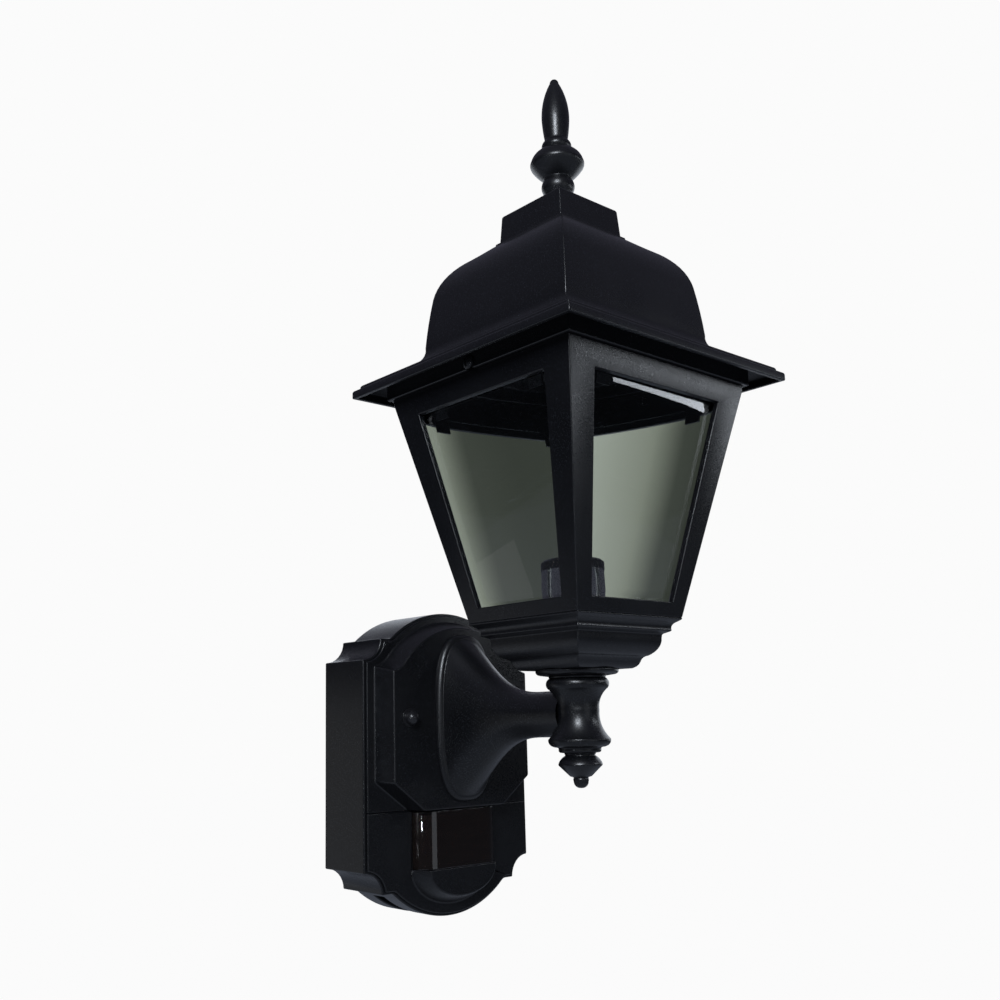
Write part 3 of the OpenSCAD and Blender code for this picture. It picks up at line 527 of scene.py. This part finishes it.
def make_camera():
    forward = Vector((math.sin(CAMERA_TURN) * math.cos(CAMERA_TILT),
                      math.cos(CAMERA_TURN) * math.cos(CAMERA_TILT), math.sin(CAMERA_TILT)))
    lens = bpy.data.cameras.new("camera")
    lens.sensor_width = 36
    lens.lens = LENS
    lens.shift_x = LENS_SHIFT
    lens.shift_y = LENS_SHIFT
    lens.clip_start = 0.01
    camera = bpy.data.objects.new("camera", lens)
    bpy.context.scene.collection.objects.link(camera)
    camera.location = (cad_low + cad_high) / 2 + CAMERA_AIM - forward * CAMERA_DISTANCE
    upright = forward.to_track_quat("-Z", "Y").to_matrix()
    camera.rotation_euler = (upright @ Matrix.Rotation(CAMERA_ROLL, 3, "Z")).to_euler()
    bpy.context.scene.camera = camera


def soft_box(name, place, aim, size, power, colour=(1, 1, 1)):
    """A rectangular studio soft box, seen neither by the camera nor through glass."""
    light = bpy.data.lights.new(name, "AREA")
    light.shape = "RECTANGLE"
    light.size, light.size_y = size
    light.energy = power
    light.color = colour
    lamp = bpy.data.objects.new(name, light)
    bpy.context.scene.collection.objects.link(lamp)
    lamp.location = place
    lamp.rotation_euler = (Vector(aim) - Vector(place)).to_track_quat("-Z", "Y").to_euler()
    lamp.visible_camera = False
    lamp.visible_transmission = False


def make_lights():
    lantern = Vector((0.0, LANTERN_Y, 0.19))
    cool = (0.86, 0.92, 1.0)
    soft_box("camera_window", (-1.13, -1.06, 0.75), lantern, (0.5, 0.5), 25, cool)
    soft_box("right_strip", (0.66, -0.7, 0.295), (0.02, -0.21, 0.19), (0.47, 0.075), 0.75, cool)
    soft_box("left_spot", (-1.16, -0.39, -0.14), (-0.027, -0.046, -0.02), (0.06, 0.012), 0.3, cool)
    soft_box("left_strip", (-1.22, -0.55, 0.30), (-0.02, -0.056, 0.04), (0.14, 0.45), 0.25, cool)
    # Big dim boxes, so that the front, the right side and the back show their form too.
    soft_box("front_wall", (0.1, -2.1, 0.1), lantern, (1.1, 1.1), 2.2, cool)
    soft_box("right_wall", (1.7, 0.35, 0.45), lantern, (1.5, 1.2), 8, cool)
    soft_box("back_wall", (0.6, 1.8, 0.45), lantern, (1.5, 1.2), 8, cool)
    soft_box("beside_box", (-0.17, 0.12, -0.05), (-0.06, -0.03, -0.02), (0.2, 0.2), 0.03)


def make_world():
    """Pale to look at, a dim cool room for light and gloss, and an olive grey room through the glass."""
    world = bpy.data.worlds.new("studio")
    bpy.context.scene.world = world
    world.use_nodes = True
    tree = world.node_tree
    tree.nodes.clear()
    link = tree.links.new

    def node(kind, *sources, **settings):
        made = tree.nodes.new(kind)
        for key, value in settings.items():
            setattr(made, key, value)
        for index, source in enumerate(sources):
            if isinstance(source, bpy.types.NodeSocket):
                link(source, made.inputs[index])
            elif source is not None:
                made.inputs[index].default_value = source
        return made

    def ramp(value, stops):
        made = node("ShaderNodeValToRGB", value)
        elements = made.color_ramp.elements
        while len(elements) < len(stops):
            elements.new(0.5)
        for element, (position, colour) in zip(elements, stops):
            element.position = position
            element.color = (*colour, 1)
        return made.outputs[0]

    def math_node(operation, *sources):
        return node("ShaderNodeMath", *sources, operation=operation).outputs[0]

    direction = node("ShaderNodeTexCoord").outputs["Generated"]
    axes = node("ShaderNodeSeparateXYZ", direction).outputs
    height = node("ShaderNodeMapRange", axes["Z"], -1.0, 1.0, 0.0, 1.0).outputs[0]
    dim = ramp(height, [(0.0, (0.27, 0.3, 0.36)), (0.25, (0.25, 0.28, 0.35)), (0.42, (0.035, 0.04, 0.05)),
                        (0.51, (0.006, 0.007, 0.009)), (0.57, (0.014, 0.014, 0.02)),
                        (0.68, (0.08, 0.078, 0.11)), (1.0, (0.12, 0.12, 0.16))])
    # How far right of the lantern's middle, seen from the camera, a direction points.
    bearing = math.radians(46.5)
    aside = math_node("SUBTRACT", math_node("MULTIPLY", axes["X"], math.cos(bearing)),
                      math_node("MULTIPLY", axes["Y"], math.sin(bearing)))
    cloud = node("ShaderNodeTexNoise", direction)
    cloud.inputs["Scale"].default_value = 2.2
    cloud.inputs["Detail"].default_value = 3.0
    patchy = math_node("MULTIPLY_ADD", cloud.outputs["Fac"], 0.3, aside)
    room = ramp(node("ShaderNodeMapRange", patchy, 0.05, 0.3, 0.0, 1.0).outputs[0],
                [(0.0, (0.05, 0.056, 0.046)), (0.25, (0.065, 0.072, 0.06)), (0.55, (0.26, 0.28, 0.235)),
                 (1.0, (0.42, 0.45, 0.4))])
    rays = node("ShaderNodeLightPath").outputs
    straight_through = math_node("SUBTRACT", math_node("SUBTRACT", rays["Is Transmission Ray"],
                                                       rays["Diffuse Depth"]), rays["Glossy Depth"])
    lit = node("ShaderNodeMixShader", math_node("MAXIMUM", straight_through, 0.0),
               node("ShaderNodeBackground", dim).outputs[0], node("ShaderNodeBackground", room).outputs[0])
    shown = node("ShaderNodeMixShader", rays["Is Camera Ray"], lit.outputs[0],
                 node("ShaderNodeBackground", (0.965, 0.965, 0.965, 1)).outputs[0])
    node("ShaderNodeOutputWorld", shown.outputs[0])


def make_floor():
    """A plain pale floor well below the lantern, which itself hangs head-high on a wall."""
    drop, size = 1.6, 60
    bpy.ops.mesh.primitive_plane_add(size=size, location=(0, 0, cad_low.z - drop))
    floor = bpy.context.active_object
    floor.name = "floor"
    paint = Shader("floor_paint", Base_Color=(0.02, 0.02, 0.02, 1), Roughness=0.9, Specular_IOR_Level=0.0,
                   Emission_Color=(1, 1, 1, 1), Emission_Strength=0.962)
    floor.data.materials.append(paint.material)
    floor.visible_diffuse = False
    floor.visible_glossy = False
    floor.visible_shadow = False
    floor.visible_transmission = False


make_camera()
dress_nodes(make_materials())
make_lights()
make_world()
make_floor()
bpy.context.scene.view_settings.view_transform = "Standard"
